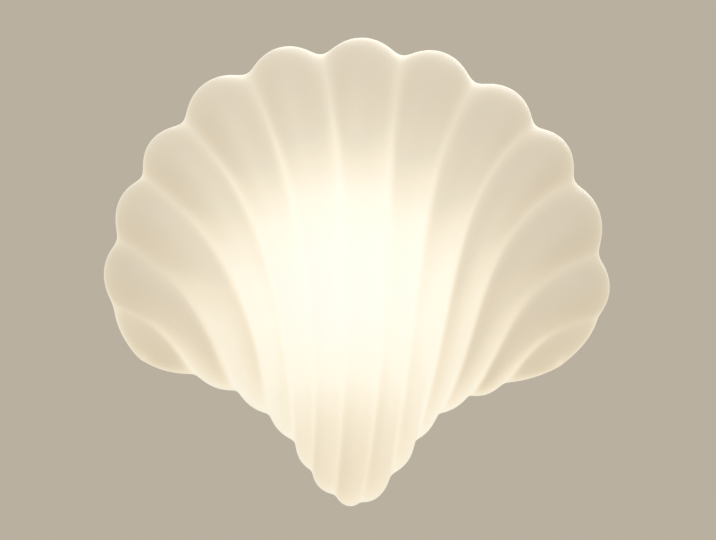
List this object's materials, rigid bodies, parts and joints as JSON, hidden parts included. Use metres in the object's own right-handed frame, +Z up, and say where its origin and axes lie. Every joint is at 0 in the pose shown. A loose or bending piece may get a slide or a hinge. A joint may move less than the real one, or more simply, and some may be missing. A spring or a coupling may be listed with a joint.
{
  "type": "wall light",
  "caption": "Scallop-shell wall light: a blown opal glass shell on a round neck, held by thumb screws in a steel carrier ring on a flat canopy, with a screw-in lamp inside.",
  "frame": {"origin": "on the wall plane, midway between the two slots of the wall bar, on the axis of the shade's neck and the lamp", "axes": "+Z up, +Y into the wall, +X to the right as seen from the room"},
  "size_m": [0.2999, 0.1338, 0.2781],
  "materials": {
    "opal_glass": "satin opal, lit from inside",
    "white_powder_coat": "fine-textured powder coat",
    "zinc_steel": "zinc plated",
    "nickel": "satin nickel plate",
    "brass_turned": "turned",
    "brass_pressed": "pressed sheet",
    "tinned_copper": "tinned",
    "solder": "dull solder",
    "seal_rubber": "translucent silicone",
    "porcelain": "white glaze",
    "block_nylon": "moulded nylon",
    "tip_nylon": "moulded nylon",
    "wire_brown": "silicone insulation",
    "wire_blue": "silicone insulation",
    "wire_green": "green and yellow insulation",
    "black_glass": "dark glass bead",
    "lamp_plastic": "moulded, matt white",
    "lamp_diffuser": "opal plastic",
    "board_aluminium": "white coated board",
    "led_phosphor": "yellow phosphor",
    "board_green": "glass-fibre board"
  },
  "bodies": {
    "fixture": {"wall_bracket": "zinc_steel", "bracket_studs": "zinc_steel", "stud_lock_nuts": "zinc_steel", "canopy": "white_powder_coat", "canopy_washers": "zinc_steel", "canopy_cap_nuts": "nickel", "gallery_ring": "white_powder_coat", "gallery_rivets": "zinc_steel", "gallery_bushes": "nickel", "neck_seal": "seal_rubber", "threaded_tube": "zinc_steel", "tube_washer": "zinc_steel", "tube_nut": "brass_turned", "lampholder_strap": "zinc_steel", "strap_screws": "zinc_steel", "strap_nuts": "zinc_steel", "lampholder_body": "porcelain", "lampholder_shell": "brass_pressed", "lampholder_contact": "brass_pressed", "terminal_block": "block_nylon", "terminal_barrels": "brass_turned", "terminal_screws": "zinc_steel", "terminal_fixing_screw": "zinc_steel", "wire_live": "wire_brown", "wire_neutral": "wire_blue", "wire_earth": "wire_green", "earth_lug": "tinned_copper", "earth_screw": "brass_turned", "earth_nut": "brass_turned"},
    "shade": {"glass_shade": "opal_glass"},
    "screw_1_tip": {"screw_tip_1": "tip_nylon"},
    "screw_1": {"thumb_screw_1": "nickel"},
    "screw_2_tip": {"screw_tip_2": "tip_nylon"},
    "screw_2": {"thumb_screw_2": "nickel"},
    "screw_3_tip": {"screw_tip_3": "tip_nylon"},
    "screw_3": {"thumb_screw_3": "nickel"},
    "bulb_tip": {"bulb_contact": "solder"},
    "bulb": {"bulb_cap": "nickel", "bulb_cap_insulator": "black_glass", "bulb_housing": "lamp_plastic", "bulb_diffuser": "lamp_diffuser", "led_board": "board_aluminium", "led_chips": "led_phosphor", "driver_board": "board_green"}
  },
  "joints": [
    {"name": "shade_pull", "type": "slide", "parent": "fixture", "child": "shade", "axis": [0, -1, 0], "range_m": [0, 0.16]},
    {"name": "screw_1_advance", "type": "slide", "parent": "fixture", "child": "screw_1_tip", "axis": [0, 0, 1], "range_m": [0, 0.004]},
    {"name": "screw_1_turn", "type": "hinge", "parent": "screw_1_tip", "child": "screw_1", "pos_m": [0, -0.0265, 0.0675], "axis": [0, 0, 1], "range_deg": [0, 2060]},
    {"name": "screw_2_advance", "type": "slide", "parent": "fixture", "child": "screw_2_tip", "axis": [-0.866, 0, -0.5], "range_m": [0, 0.004]},
    {"name": "screw_2_turn", "type": "hinge", "parent": "screw_2_tip", "child": "screw_2", "pos_m": [-0.05846, -0.0265, -0.03375], "axis": [-0.866, 0, -0.5], "range_deg": [0, 2060]},
    {"name": "screw_3_advance", "type": "slide", "parent": "fixture", "child": "screw_3_tip", "axis": [0.866, 0, -0.5], "range_m": [0, 0.004]},
    {"name": "screw_3_turn", "type": "hinge", "parent": "screw_3_tip", "child": "screw_3", "pos_m": [0.05846, -0.0265, -0.03375], "axis": [0.866, 0, -0.5], "range_deg": [0, 2060]},
    {"name": "bulb_advance", "type": "slide", "parent": "fixture", "child": "bulb_tip", "axis": [0, -1, 0], "range_m": [0, 0.01411]},
    {"name": "bulb_turn", "type": "hinge", "parent": "bulb_tip", "child": "bulb", "pos_m": [0, -0.08, 0], "axis": [0, -1, 0], "range_deg": [0, 1802]}
  ],
  "couplings": [
    {"joint": "screw_1_turn", "follows": "screw_1_advance", "rad_per_m": 8976},
    {"joint": "screw_2_turn", "follows": "screw_2_advance", "rad_per_m": 8976},
    {"joint": "screw_3_turn", "follows": "screw_3_advance", "rad_per_m": 8976},
    {"joint": "bulb_turn", "follows": "bulb_advance", "rad_per_m": 2226.5}
  ]
}
